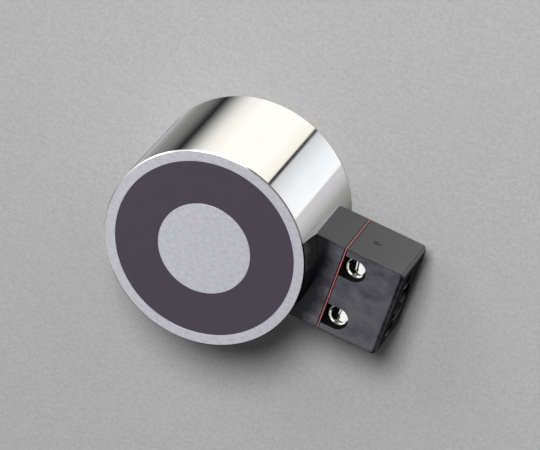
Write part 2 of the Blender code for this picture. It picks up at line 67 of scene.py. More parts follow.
# Small gaps and edges
SEAM = 0.00003  # what the eye sees as a fine line between two pieces
EDGE = 0.0004  # rounding along the block's long edges
CRISP = 0.00008  # edge of saddle and housing beside the sheet
PAST = 0.001  # how far a cutting shape reaches past what it cuts

# Steps round a full turn, and thread steps along one pitch
POT_STEPS = 192
SCREW_STEPS = 96
MOUTH_STEPS = 64
HOLE_STEPS = 48
FLOOR_STEPS = 96
WALL_STEPS = 64
THREAD_STEPS = 8


def head_middle(side):
    """The middle of a terminal screw's head, at its top."""
    low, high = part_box(f"terminal_screw_{side}")
    return Vector(((low.x + high.x) / 2, (low.y + high.y) / 2, high.z))


TERMINALS = {side: head_middle(side) for side in ("left", "right")}


# Shapes

def new_object(name, shape, *surfaces):
    bmesh.ops.recalc_face_normals(shape, faces=shape.faces)
    mesh = bpy.data.meshes.new(name)
    shape.to_mesh(mesh)
    shape.free()
    for surface in surfaces:
        mesh.materials.append(surface)
    made = bpy.data.objects.new(name, mesh)
    bpy.context.scene.collection.objects.link(made)
    return made


def combine(target, shape, operation="DIFFERENCE", surface=None):
    """Cuts the shape away from the target, or joins it, for good."""
    helper = new_object("helper", shape, *([surface] if surface else []))
    modifier = target.modifiers.new("combine", "BOOLEAN")
    modifier.solver = "EXACT"
    modifier.object = helper
    modifier.operation = operation
    if surface:
        modifier.material_mode = "TRANSFER"
    with bpy.context.temp_override(object=target):
        bpy.ops.object.modifier_apply(modifier=modifier.name)
    bpy.data.meshes.remove(helper.data)


def finish_piece(piece, slot, *nodes, angle=32):
    """Crisp edges and smooth round faces, then the piece takes its nodes' place on the frame."""
    piece.data.shade_smooth()
    piece.data.set_sharp_from_angle(angle=math.radians(angle))
    flat = piece.modifiers.new("flat faces", "WEIGHTED_NORMAL")
    flat.keep_sharp = True
    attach(piece, "root")
    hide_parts(*nodes)


def lathe(profile, steps, surface_of=None, closed=False):
    """Turns (radius, height) points round Z. surface_of gives each band's material number."""
    shape = bmesh.new()
    rings = []
    for radius, height in profile:
        if radius < 1e-9:
            rings.append([shape.verts.new((0, 0, height))])
        else:
            rings.append([
                shape.verts.new((radius * math.cos(math.tau * i / steps),
                                 radius * math.sin(math.tau * i / steps), height))
                for i in range(steps)
            ])
    bands = list(zip(rings, rings[1:]))
    if closed:
        bands.append((rings[-1], rings[0]))
    for number, (first, second) in enumerate(bands):
        for i in range(steps):
            j = (i + 1) % steps
            corners = [first[i % len(first)], first[j % len(first)],
                       second[j % len(second)], second[i % len(second)]]
            corners = list(dict.fromkeys(corners))
            if len(corners) < 3:
                continue
            face = shape.faces.new(corners)
            if surface_of:
                face.material_index = surface_of[number]
    return shape


def aimed_at_x(shape, start, across, level):
    """Turns a shape that stands on the origin along Z to lie along X, from that place on."""
    place = Matrix.Translation((start, across, level)) @ Matrix.Rotation(math.pi / 2, 4, "Y")
    bmesh.ops.transform(shape, matrix=place, verts=shape.verts)
    return shape


def rod_along_x(radius, start, stop, across, level):
    profile = [(0, stop - start), (radius, stop - start), (radius, 0), (0, 0)]
    return aimed_at_x(lathe(profile, HOLE_STEPS), start, across, level)


def flared_hole(radius, flare, start, stop, across, level):
    """A round hole along X whose mouth at stop opens out."""
    profile = [
        (0, stop - start + flare), (radius + 2 * flare, stop - start + flare),
        (radius, stop - start - flare), (radius, 0), (0, 0),
    ]
    return aimed_at_x(lathe(profile, MOUTH_STEPS), start, across, level)


def box(low, high):
    shape = bmesh.new()
    bmesh.ops.create_cube(shape, size=1)
    size = [b - a for a, b in zip(low, high)]
    middle = [(a + b) / 2 for a, b in zip(low, high)]
    place = Matrix.Translation(middle) @ Matrix.Diagonal((*size, 1))
    bmesh.ops.transform(shape, matrix=place, verts=shape.verts)
    return shape


def arc(centre, radius, start, stop, steps):
    angles = [start + (stop - start) * i / steps for i in range(steps + 1)]
    return [(centre[0] + radius * math.cos(a), centre[1] + radius * math.sin(a)) for a in angles]


def loft(sections):
    """A closed shape through sections of equally many points."""
    shape = bmesh.new()
    rings = [[shape.verts.new(point) for point in section] for section in sections]
    for first, second in zip(rings, rings[1:]):
        for i, point in enumerate(first):
            j = (i + 1) % len(first)
            shape.faces.new((point, first[j], second[j], second[i]))
    shape.faces.new(rings[0])
    shape.faces.new(rings[-1])
    return shape


def block_section(x, side=0.0, back=0.0, front=0.0, edge=EDGE):
    """The block's rounded cross-section at x, drawn in by the given amounts."""
    steps = 6
    half = BLOCK_HALF - side - edge
    top = BLOCK_FRONT - front - edge
    bottom = BLOCK_BACK + back + edge
    points = []
    for quarter, corner in enumerate(((half, top), (-half, top), (-half, bottom), (half, bottom))):
        start = quarter * math.pi / 2
        points += arc(corner, edge, start, start + math.pi / 2, steps)
    return [Vector((x, across, level)) for across, level in points]


def crisp_section(x):
    """The cross-section where saddle or housing ends at the sheet."""
    return block_section(x, CRISP, CRISP, CRISP, EDGE - CRISP)


def cut_thread(shape, radius, depth, pitch, start, direction, first, last, run_in):
    """Moves the rings of that radius to a right-hand thread, by the depth at most.

    A negative depth goes inwards. The thread runs along Z from start in the direction, where the
    way is between first and last, and is at its full depth after run_in pitches.
    """
    for vert in shape.verts:
        distance = math.hypot(vert.co.x, vert.co.y)
        way = direction * (vert.co.z - start)
        if abs(distance - radius) < 1e-6 and first < way < last:
            turn = direction * math.atan2(vert.co.y, vert.co.x) / math.tau
            wave = abs(((way / pitch - turn) % 1) * 2 - 1)
            moved = radius + depth * wave * min(1, way / pitch / run_in)
            vert.co.x *= moved / distance
            vert.co.y *= moved / distance


# Materials

class Nodes:
    """A node tree that is built up step by step."""

    def __init__(self, tree):
        self.tree = tree

    def node(self, kind, inputs):
        """A new node, whose inputs take plain values or other nodes' outputs."""
        made = self.tree.nodes.new(kind)
        for key, value in inputs.items():
            self.give(value, made.inputs[key])
        return made

    def give(self, value, socket):
        if isinstance(value, bpy.types.NodeSocket):
            self.tree.links.new(value, socket)
        else:
            socket.default_value = value

    def calculate(self, operation, *values):
        """The result of a math operation on outputs and numbers."""
        node = self.node("ShaderNodeMath", dict(enumerate(values)))
        node.operation = operation
        return node.outputs["Value"]

    def blend(self, factor, stops):
        """A colour ramp over the factor, through (position, colour) stops."""
        node = self.node("ShaderNodeValToRGB", {"Fac": factor})
        while len(node.color_ramp.elements) < len(stops):
            node.color_ramp.elements.new(0.5)
        for element, (position, colour) in zip(node.color_ramp.elements, stops):
            element.position = position
            element.color = (*colour, 1)
        return node.outputs["Color"]

    def spread(self, factor, low, high, start=0.3, stop=0.7):
        """The factor from start to stop, turned into low to high."""
        return self.node("ShaderNodeMapRange", {
            "Value": factor, "From Min": start, "From Max": stop, "To Min": low, "To Max": high,
        }).outputs["Result"]


class Surface(Nodes):
    """A material whose textures are in the object's own metres.

    Its plain colour and roughness stay set on the shader beneath what colour() and roughness() link.
    """

    def __init__(self, name, colour, metallic, roughness):
        self.material = bpy.data.materials.new(name)
        self.material.use_nodes = True
        super().__init__(self.material.node_tree)
        self.shader = self.tree.nodes["Principled BSDF"]
        self.shader.inputs["Metallic"].default_value = metallic
        self.shader.inputs["Roughness"].default_value = roughness
        self.shader.inputs["Base Color"].default_value = (*colour, 1)
        self.place = self.node("ShaderNodeTexCoord", {}).outputs["Object"]

    def stretched(self, scale, turn=0.0):
        """The place turned round Z, then scaled by its own amount along each axis."""
        return self.node("ShaderNodeMapping", {
            "Vector": self.place, "Rotation": (0, 0, turn), "Scale": scale,
        }).outputs["Vector"]

    def along(self, axis):
        return self.node("ShaderNodeSeparateXYZ", {"Vector": self.place}).outputs[axis]

    def distance_from_z(self):
        node = self.node("ShaderNodeVectorMath", {0: self.stretched((1, 1, 0))})
        node.operation = "LENGTH"
        return node.outputs["Value"]

    def noise(self, size, detail=3.0, roughness=0.55, place=None):
        """Noise whose cells are about that many metres across."""
        return self.node("ShaderNodeTexNoise", {
            "Vector": place or self.place, "Scale": 1 / size, "Detail": detail, "Roughness": roughness,
        }).outputs["Fac"]

    def waves(self, kind, spacing, distortion=0.0):
        """Even waves that many metres apart, as RINGS round Z or as BANDS along it."""
        own_spacing = math.tau / 20  # of Blender's waves at a scale of 1
        node = self.node("ShaderNodeTexWave", {
            "Vector": self.place, "Scale": own_spacing / spacing, "Distortion": distortion, "Detail": 2,
        })
        node.wave_type = kind
        node.rings_direction = "Z"
        node.bands_direction = "Z"
        return node.outputs["Fac"]

    def colour(self, value):
        self.give(value, self.shader.inputs["Base Color"])

    def roughness(self, value):
        self.give(value, self.shader.inputs["Roughness"])

    def bumps(self, *layers):
        """Bumps of (height, depth in metres), one on another."""
        below = {}
        for height, depth in layers:
            node = self.node("ShaderNodeBump", {
                "Strength": 1.0, "Distance": depth, "Height": height, **below,
            })
            below = {"Normal": node.outputs["Normal"]}
        self.give(below["Normal"], self.shader.inputs["Normal"])


def tinted(colour, amount):
    """The colour, lighter or darker by that share."""
    return tuple(min(1, max(0, channel * (1 + amount))) for channel in colour)


def plated_side():
    """Bright nickel over a finely ground cylinder: almost a mirror, with faint rings and smears."""
    colour = (0.86, 0.85, 0.825)
    surface = Surface("nickel_side", colour, 1.0, 0.06)
    smears = surface.noise(0.006, detail=4)
    surface.colour(surface.blend(smears, ((0.3, tinted(colour, -0.03)), (0.7, colour))))
    surface.roughness(surface.spread(smears, 0.045, 0.085))
    along_rings = surface.stretched((0.004, 0.004, 1))
    rings = surface.noise(0.0001, detail=2, roughness=0.6, place=along_rings)
    surface.bumps((rings, 0.00000035))
    return surface.material


def ground_face():
    """Steel ground flat: fine straight marks in one direction with a few longer scratches."""
    colour, roughness, direction = (0.525, 0.515, 0.545), 0.34, 0.45
    surface = Surface("ground_steel", colour, 1.0, roughness)
    fine_place = surface.stretched((0.03, 1, 1), direction)
    long_place = surface.stretched((0.02, 1, 1), direction)
    cloud_place = surface.stretched((0.6, 1, 1), direction)
    fine = surface.noise(0.00008, detail=3, roughness=0.65, place=fine_place)
    long_marks = surface.noise(0.00045, detail=3, roughness=0.6, place=long_place)
    cloud = surface.noise(0.0008, detail=4, roughness=0.7, place=cloud_place)
    surface.colour(surface.blend(cloud, ((0.3, tinted(colour, -0.13)), (0.7, tinted(colour, 0.14)))))
    surface.roughness(surface.spread(long_marks, roughness - 0.02, roughness + 0.02))
    surface.bumps((fine, 0.000008), (long_marks, 0.000001))
    return surface.material


def faced_back():
    """The back end, faced on a lathe and plated: fine rings round the middle."""
    colour = (0.80, 0.79, 0.77)
    surface = Surface("nickel_back", colour, 1.0, 0.2)
    smears = surface.noise(0.008, detail=3)
    surface.colour(surface.blend(smears, ((0.3, tinted(colour, -0.05)), (0.7, colour))))
    surface.roughness(surface.spread(smears, 0.16, 0.26))
    surface.bumps((surface.waves("RINGS", 0.00016, 0.6), 0.0000025))
    return surface.material


def cast_resin():
    """Filled resin ground flush with the steel: dull, dark, finely specked."""
    surface = Surface("ground_resin", (0.035, 0.033, 0.042), 0.0, 0.48)
    specks = surface.noise(0.00022, detail=2, roughness=0.7)
    surface.colour(surface.blend(specks, (
        (0.25, (0.013, 0.009, 0.014)), (0.55, (0.021, 0.016, 0.024)), (0.8, (0.038, 0.031, 0.043)))))
    surface.roughness(surface.spread(surface.noise(0.005, detail=3), 0.42, 0.54))
    marks_place = surface.stretched((0.04, 1, 1), 0.5)
    marks = surface.noise(0.00012, detail=3, roughness=0.6, place=marks_place)
    surface.bumps((specks, 0.000004), (marks, 0.000002))
    return surface.material


def moulded_black():
    """Satin moulded thermoset, near black.

    Its front is cloudy from handling, with painted shade beside the pot and a painted sheen
    lighter and bluer than the sides', whose painted sheen grows towards the block's end.
    """
    surface = Surface("satin_moulding", (0.010, 0.0097, 0.011), 0.0, 0.26)
    surface.shader.inputs["IOR"].default_value = 1.76
    cloud_place = surface.stretched((0.6, 1, 1), 0.3)
    cloud = surface.noise(0.0034, detail=5, roughness=0.62, place=cloud_place)
    # Painted sheen: the sides' colour and gloss tint rise towards the block's end.
    sheen_towards_end = surface.spread(surface.along("X"), 0.12, 0.34, BODY_RADIUS, BLOCK_END)
    sides_cloud_and_sheen = surface.calculate("ADD", surface.calculate("MULTIPLY", cloud, 0.16), sheen_towards_end)
    # Painted shade: the front darkens within a few millimetres of the pot.
    shade_beside_pot = surface.spread(
        surface.distance_from_z(), -0.86, -0.36, BODY_RADIUS + 0.0018, BODY_RADIUS + 0.0052)
    # The front's painted sheen sits above the sides' and carries the painted shade beside the pot.
    front_cloud_sheen_and_shade = surface.calculate("ADD", surface.calculate("ADD", cloud, shade_beside_pot), 0.38)
    cloud_and_painted_light = surface.spread(surface.along("Z"), sides_cloud_and_sheen, front_cloud_sheen_and_shade, BLOCK_FRONT - 0.0008, BLOCK_FRONT - 0.0001)
    surface.colour(surface.blend(cloud_and_painted_light, (
        (0.36, (0.0025, 0.0023, 0.003)), (0.5, (0.005, 0.0046, 0.0065)), (0.64, (0.012, 0.011, 0.015)))))
    # Painted sheen and reflection: the gloss tint follows the same painted light, bluer on the front.
    gloss = surface.blend(cloud_and_painted_light, (
        (0.08, (0.12, 0.12, 0.13)), (0.36, (0.52, 0.515, 0.55)), (0.5, (0.78, 0.755, 0.90)),
        (0.64, (1.0, 0.97, 1.0))))
    surface.give(gloss, surface.shader.inputs["Specular Tint"])
    surface.roughness(surface.spread(cloud, 0.13, 0.22))
    surface.bumps((surface.noise(0.00018, detail=3, roughness=0.6), 0.000005), (cloud, 0.00002))
    return surface.material


def well_shade_black():
    """The mouldings' inner walls: dull grain, blacker and duller, painted shade in the wells."""
    surface = Surface("well_shade_moulding", (0.003, 0.003, 0.003), 0.0, 0.6)
    surface.shader.inputs["IOR"].default_value = 1.16
    grain = surface.noise(0.0002, detail=3, roughness=0.6)
    surface.colour(surface.blend(grain, ((0.3, (0.0016, 0.0016, 0.002)), (0.7, (0.004, 0.004, 0.0045)))))
    surface.roughness(surface.spread(grain, 0.55, 0.7))
    surface.bumps((grain, 0.000008))
    return surface.material


def red_fibre():
    """Pressed fibre sheet, dyed red: painted highlight mid-edge, painted shade at its faces."""
    surface = Surface("red_fibre", (0.25, 0.05, 0.055), 0.0, 0.4)
    fibre_place = surface.stretched((1, 0.2, 0.2))
    fibres = surface.noise(0.00015, detail=4, roughness=0.7, place=fibre_place)
    across = surface.spread(surface.along("X"), -1, 1, sheet_low.x, sheet_high.x)
    off_middle = surface.calculate("ABSOLUTE", across)
    ragged = surface.calculate("ADD", off_middle, surface.spread(fibres, -0.15, 0.15))
    # Painted highlight down the middle of the cut edge, fading to painted shade towards and on the faces.
    surface.colour(surface.blend(ragged, (
        (0.15, (0.24, 0.09, 0.095)), (0.42, (0.11, 0.016, 0.019)), (0.7, (0.025, 0.002, 0.003)))))
    surface.roughness(surface.spread(fibres, 0.3, 0.45))
    surface.bumps((fibres, 0.000008))
    return surface.material


def plated(name, colour, roughness):
    """Bright plating on a small turned or stamped part, with slight smears."""
    surface = Surface(name, colour, 1.0, roughness)
    smears = surface.noise(0.0009, detail=4)
    surface.colour(surface.blend(smears, ((0.3, tinted(colour, -0.08)), (0.7, colour))))
    surface.roughness(surface.spread(smears, roughness * 0.7, roughness * 1.4))
    surface.bumps((surface.noise(0.00006, detail=2), 0.0000006))
    return surface.material


def brass():
    surface = Surface("drawn_brass", (0.72, 0.53, 0.22), 1.0, 0.25)
    drawn_place = surface.stretched((0.04, 1, 1))
    drawn = surface.noise(0.00015, detail=3, roughness=0.6, place=drawn_place)
    stains = surface.noise(0.0015, detail=4)
    surface.colour(surface.blend(stains, ((0.3, (0.60, 0.41, 0.15)), (0.7, (0.76, 0.58, 0.26)))))
    surface.roughness(surface.spread(stains, 0.18, 0.36))
    surface.bumps((drawn, 0.000002))
    return surface.material


def wound_copper():
    """Enamelled wire in layers, seen as fine rings along Z."""
    surface = Surface("wound_copper", (0.62, 0.26, 0.11), 1.0, 0.3)
    wave = surface.waves("BANDS", 0.00035)
    # Darker in the grooves between turns: painted shade.
    surface.colour(surface.blend(wave, ((0.1, (0.36, 0.13, 0.05)), (0.7, (0.68, 0.30, 0.13)))))
    surface.roughness(surface.spread(wave, 0.24, 0.38))
    surface.bumps((wave, 0.00005))
    return surface.material


def soft_plastic(name, colour, roughness, cell):
    """Plain moulded or wrapped plastic with a little grain and clouding."""
    surface = Surface(name, colour, 0.0, roughness)
    cloud = surface.noise(cell * 8, detail=3)
    surface.colour(surface.blend(cloud, ((0.3, tinted(colour, -0.12)), (0.7, tinted(colour, 0.08)))))
    surface.roughness(surface.spread(cloud, roughness - 0.06, roughness + 0.08))
    surface.bumps((surface.noise(cell, detail=2), cell * 0.03))
    return surface.material


# Pieces

def make_pot(*surfaces):
    """The turned pot with its groove, lead holes, chamfered edges and threaded back hole."""
    side, face, end = 0, 1, 2  # numbers of its materials
    soft = 0.00004
    chamfer, back_chamfer = 0.00028, 0.0008
    back = -BODY_HEIGHT
    drilled = BLOCK_FRONT - 0.0012, BLOCK_BACK + 0.0008  # the side's band with the lead holes in it
    minor, major, pitch, depth = 0.0021, 0.00245, 0.0008, 0.010
    mouth, drill_tip = 0.0026, minor * 0.6
    start = back + mouth - minor
    rows = int(depth / pitch * THREAD_STEPS)
    bands = (
        (face, [(0.004, 0), (0.008, 0), (POLE_RADIUS - soft, 0), (POLE_RADIUS, -soft)]),
        (side, [(POLE_RADIUS, GROOVE_FLOOR), (RIM_INNER, GROOVE_FLOOR), (RIM_INNER, -soft)]),
        (face, [(RIM_INNER + soft, 0), (BODY_RADIUS - chamfer, 0)]),
        (side, [(BODY_RADIUS, -chamfer), *((BODY_RADIUS, level) for level in drilled),
                (BODY_RADIUS, back + back_chamfer)]),
        (end, [(BODY_RADIUS - back_chamfer, back), (mouth, back)]),
        (side, [(minor, start), *((minor, start + depth * row / rows) for row in range(1, rows + 1)),
                (0, start + depth + drill_tip)]),
    )
    profile, surface_of = [(0, 0)], []
    for number, points in bands:
        profile += points
        surface_of += [number] * len(points)
    shape = lathe(profile, POT_STEPS, surface_of)
    cut_thread(shape, minor, major - minor, pitch, start, direction=1,
               first=0.0001, last=depth - pitch, run_in=1)
    pot = new_object("pot", shape, *surfaces)
    lead_hole = 0.0025
    inside, outside = (POLE_RADIUS + RIM_INNER) / 2, BODY_RADIUS + PAST
    combine(pot, rod_along_x(FIXING_HOLE, inside, outside, 0, FIXING_LEVEL))
    for place in TERMINALS.values():
        combine(pot, rod_along_x(lead_hole, inside, outside, place.y, LEAD_LEVEL))
    finish_piece(pot, "nickel_plate", "magnet_body")


def make_resin(surface):
    """The resin ring, ground flush, with a barely rounded edge against the steel."""
    gap = 0.00001
    edge = 0.00005
    inner, outer = POLE_RADIUS + gap, RIM_INNER - gap
    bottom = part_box("potting_resin")[0].z
    profile = [
        (inner, -edge), (inner + edge, -gap), (outer - edge, -gap), (outer, -edge),
        (outer, bottom), (inner, bottom),
    ]
    ring = new_object("resin_ring", lathe(profile, POT_STEPS, closed=True), surface)
    finish_piece(ring, "black_resin", "potting_resin")


def make_base(surface):
    """The moulded saddle between pot and sheet, with its spigots and passages."""
    spare = 0.0002  # length that the pot's hollow cuts away again at the saddle's sides
    start = math.sqrt(BODY_RADIUS ** 2 - BLOCK_HALF ** 2) - spare
    corner = 0.0011
    spigot = 0.0022
    into_pot = 0.002
    steps = 6
    sections = []
    for step in range(steps + 1):
        turn = math.pi / 2 * step / steps
        sections.append(block_section(
            start + corner * (1 - math.cos(turn)), back=corner * (1 - math.sin(turn))))
    sections += [block_section(BASE_END - CRISP), crisp_section(BASE_END)]
    base = new_object("saddle", loft(sections), surface)
    hollow = BODY_RADIUS + 2 * SEAM
    combine(base, lathe([(0, 0), (hollow, 0), (hollow, -BODY_HEIGHT), (0, -BODY_HEIGHT)], POT_STEPS))
    for place in TERMINALS.values():
        tip = math.sqrt(BODY_RADIUS ** 2 - place.y ** 2) - into_pot
        spigot_end = BASE_END - into_pot
        combine(base, rod_along_x(spigot, tip, spigot_end, place.y, LEAD_LEVEL), "UNION")
        combine(base, rod_along_x(LEAD_PASSAGE, tip - PAST, BASE_END + PAST, place.y, LEAD_LEVEL))
    combine(base, rod_along_x(FIXING_HOLE, start, BASE_END + PAST, 0, FIXING_LEVEL))
    finish_piece(base, "black_moulding", "block_base", angle=28)


def make_sheet(surface):
    """The red sheet, whose edge stands a hair proud of the mouldings."""
    proud = 0.00006
    soft = 0.00012
    start, end = sheet_low.x, sheet_high.x
    sections = []
    for x, rounding in ((start, soft), (start + soft / 3, soft / 3), (start + soft, 0),
                        (end - soft, 0), (end - soft / 3, soft / 3), (end, soft)):
        inset = rounding - proud
        sections.append(block_section(x, inset, inset, inset))
    sheet = new_object("red_sheet", loft(sections), surface)
    for place in TERMINALS.values():
        combine(sheet, rod_along_x(LEAD_PASSAGE, start - PAST, end + PAST, place.y, LEAD_LEVEL))
    combine(sheet, rod_along_x(FIXING_HOLE, start - PAST, end + PAST, 0, FIXING_LEVEL))
    finish_piece(sheet, "red_sheet", "insulating_sheet", angle=50)


def well(place, radius, floor):
    """The U-shaped well over a terminal screw, open to the sheet, whose rim flares a hair."""
    lip = 0.00003
    past = 0.0003
    steps = 32
    open_end = housing_low.x - past
    sections = []
    for level, grow in ((floor, 0), (BLOCK_FRONT - lip, 0), (BLOCK_FRONT + lip, 2 * lip)):
        wide = radius + grow
        curve = arc((place.x, place.y), wide, -math.pi / 2, math.pi / 2, steps)
        outline = [(open_end, place.y - wide), *curve, (open_end, place.y + wide)]
        sections.append([Vector((x, y, level)) for x, y in outline])
    return loft(sections)


def cut_terminal(housing, side, place, open_end, inner):
    """The well, the chamber, the pocket and the wire entry of one terminal."""
    well_radius, pocket_half = 0.0028, 0.002
    entry_radius, entry_flare = 0.0018, 0.00018
    gap, above_lead, over_plate = 0.0002, 0.0008, 0.0003
    plate_low, plate_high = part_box(f"clamp_plate_{side}")
    bar_low, bar_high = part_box(f"terminal_bar_{side}")
    lead_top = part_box(f"lead_wire_{side}")[1].z
    chamber = box(
        (open_end, bar_low.y - gap, lead_top + above_lead),
        (bar_high.x + gap, bar_high.y + gap, plate_high.z + over_plate),
    )
    pocket = box(
        (open_end, place.y - pocket_half, bar_low.z - gap),
        (place.x + pocket_half, place.y + pocket_half, plate_low.z),
    )
    # The well's walls take the inner material, a blacker copy that paints shade into the well.
    combine(housing, well(place, well_radius, plate_low.z), surface=inner)
    combine(housing, chamber)
    combine(housing, pocket)
    combine(housing, flared_hole(entry_radius, entry_flare, place.x, BLOCK_END, place.y, WIRE_LEVEL))


def cut_mould_mark(housing):
    """Two short strokes sunk into the side, as a mould number too small to read."""
    middle = Vector((0.03495, BLOCK_HALF, -0.0169))
    half_depth, half_width = 0.0002, 0.00016
    turn = Matrix.Rotation(math.radians(20), 4, "Y")
    for offset, length in ((-0.0003, 0.0012), (0.0003, 0.002)):
        stroke = box((-length / 2, -half_depth, -half_width), (length / 2, half_depth, half_width))
        place = Matrix.Translation(middle + Vector((offset, 0, offset)))
        bmesh.ops.transform(stroke, matrix=place @ turn, verts=stroke.verts)
        combine(housing, stroke)


def make_housing(surface, inner):
    """The terminal housing: wells, chambers, wire entries, counterbore and a small mould mark."""
    start = sheet_high.x + SEAM
    side, back, front = 0.0012, 0.0012, 0.0003  # rounding of its end towards each face
    straight = BLOCK_END - back
    steps = 8
    sections = [crisp_section(start), block_section(start + CRISP), block_section(straight)]
    for step in range(1, steps + 1):
        turn = math.pi / 2 * step / steps
        inset = 1 - math.cos(turn)
        sections.append(block_section(
            straight + back * math.sin(turn), side * inset, back * inset, front * inset))
    housing = new_object("terminal_block", loft(sections), surface)
    for name, place in TERMINALS.items():
        cut_terminal(housing, name, place, start - PAST, inner)
    counterbore, flare, under_washer = 0.0047, 0.00012, 0.0001
    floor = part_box("plain_washer")[0].x - under_washer
    combine(housing, flared_hole(counterbore, flare, floor, BLOCK_END, 0, FIXING_LEVEL))
    combine(housing, rod_along_x(FIXING_HOLE, start - PAST, BLOCK_END, 0, FIXING_LEVEL))
    cut_mould_mark(housing)
    finish_piece(housing, "black_moulding", "terminal_housing", angle=28)


def pan_top(radius, crown, edge):
    """Half of a slightly domed head top, from its middle out to its side."""
    steps, edge_steps = 8, 6
    flat = radius - edge
    slope = math.atan(2 * crown / flat)
    points = [(flat * i / steps, -crown * (i / steps) ** 2) for i in range(steps)]
    points += reversed(arc((flat, -crown - edge), edge, 0, math.pi / 2 - slope, edge_steps))
    return points


def dished_top(radius, rim, drop, dish, edge):
    """Half of a dished head top: its sunk face, the slope up to its rim, and the rim's edge."""
    steps, edge_steps = 12, 5
    face = radius - rim
    foot_out, foot_up = 0.00005, 0.00004
    brow_down = 0.00002
    points = [(face * i / steps, -drop - dish) for i in range(steps + 1)]
    points += [(face + foot_out, foot_up - drop), (radius - 1.9 * edge, -brow_down),
               (radius - 1.6 * edge, 0)]
    points += reversed(arc((radius - edge, -edge), edge, 0, math.pi / 2, edge_steps))
    return points


def fold_face(shape, face, rise, spin):
    """Tilts both halves of a head's sunk face towards its slot."""
    head_depth = 0.001
    nearly = 0.00001
    for vert in shape.verts:
        if math.hypot(vert.co.x, vert.co.y) < face + nearly and vert.co.z > -head_depth:
            across = abs(vert.co.x * math.cos(spin) + vert.co.y * math.sin(spin))
            vert.co.z += rise * across / face


def screw_shape(top, radius, head, shank, length, pitch):
    """A screw hanging from its head's top at the origin, with a real thread."""
    edge = 0.0001
    tip = shank * 0.8
    thread_depth = pitch * 0.45
    rows = int(length / pitch * THREAD_STEPS)
    profile = top + [(radius, -head + edge), (radius - edge, -head), (shank, -head)]
    profile += [(shank, -head - length * row / rows) for row in range(1, rows)]
    profile += [(tip, -head - length), (0, -head - length)]
    shape = lathe(profile, SCREW_STEPS)
    cut_thread(shape, shank, -thread_depth, pitch, -head, direction=-1,
               first=pitch * 0.4, last=math.inf, run_in=1.5)
    return shape


def cut_slot(screw, outline, reach, spin):
    """Cuts a slot of that (across, level) outline through the head, turned by the spin."""
    groove = loft([[Vector((across, along, level)) for across, level in outline]
                   for along in (-reach, reach)])
    bmesh.ops.transform(groove, matrix=Matrix.Rotation(spin, 4, "Z"), verts=groove.verts)
    combine(screw, groove)


def make_terminal_screws(surface):
    """The clamping screws: dished heads, their slots worn down along one side."""
    radius, head, shank, length, pitch = 0.0026, 0.0022, 0.0015, 0.006, 0.0005
    rim, fold = 0.0006, 0.00019
    above, floor = 0.001, -0.0013
    half, worn_from = 0.0004, -0.0001
    worn_low, worn_high = -0.00053, -0.00038
    worn_slot = [(half, above), (half, floor), (worn_from, floor), (worn_from, worn_low),
                 (-half, worn_high), (-half, above)]
    turned = {"left": 7, "right": -4}  # degrees
    for side, place in TERMINALS.items():
        spin = math.radians(turned[side])
        top = dished_top(radius, rim, drop=0.00022, dish=0.0002, edge=0.00008)
        shape = screw_shape(top, radius, head, shank, length, pitch)
        fold_face(shape, radius - rim, fold, spin)
        screw = new_object(f"clamping_screw_{side}", shape, surface)
        cut_slot(screw, worn_slot, radius - rim, spin)
        screw.data.transform(Matrix.Translation(place))
        finish_piece(screw, "screw_nickel", f"terminal_screw_{side}", angle=20)


def make_fixing_screw(surface):
    """The screw that holds the block, in the counterbore."""
    radius, head, shank, pitch = 0.0035, 0.0026, 0.002, 0.0007
    half, above, floor = 0.0006, 0.001, -0.0013
    spin = math.radians(24)
    low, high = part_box("fixing_screw")
    top = pan_top(radius, crown=0.0002, edge=0.0003)
    shape = screw_shape(top, radius, head, shank, high.x - low.x - head, pitch)
    screw = new_object("mounting_screw", shape, surface)
    cut_slot(screw, [(half, above), (half, floor), (-half, floor), (-half, above)], 2 * radius, spin)
    turn = Matrix.Rotation(math.pi / 2, 4, "Y")
    screw.data.transform(Matrix.Translation((high.x, 0, FIXING_LEVEL)) @ turn)
    finish_piece(screw, "zinc_plate", "fixing_screw", angle=20)


def carry_over(surfaces):
    """The frame's own solids that stay in view take their detailed materials."""
    for name, surface in surfaces.items():
        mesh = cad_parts[name].data
        mesh.materials.clear()
        mesh.materials.append(surface)


# Studio

def make_floor():
    """A wide plain floor under the standing part, lightly grained, with a backdrop round it."""
    surface = Surface("studio_floor", (0.3, 0.3, 0.3), 0.0, 0.75)
    grain = surface.noise(0.0008, detail=3, roughness=0.6)
    surface.colour(surface.blend(grain, ((0.3, (0.218, 0.217, 0.216)), (0.7, (0.262, 0.2605, 0.259)))))
    surface.roughness(surface.spread(surface.noise(0.01, detail=3), 0.65, 0.8))
    surface.bumps((grain, 0.00009))
    reach, sweep = 1.4, 0.5
    wall_top, dome_top = 1.6, 2.2
    shape = bmesh.new()
    bmesh.ops.create_circle(shape, cap_ends=True, segments=FLOOR_STEPS, radius=reach)
    bmesh.ops.translate(shape, verts=shape.verts, vec=(0, 0, -BODY_HEIGHT))
    floor = new_object("floor", shape, surface.material)
    floor.visible_glossy = False
    profile = arc((reach, sweep - BODY_HEIGHT), sweep, -math.pi / 2, 0, 12)
    profile += [(reach + sweep, wall_top), (0, dome_top)]
    wall = new_object("backdrop", lathe(profile, WALL_STEPS), surface.material)
    wall.data.shade_smooth()
    wall.visible_glossy = False
    wall.visible_diffuse = False
    wall.visible_shadow = False
    wall.visible_transmission = False


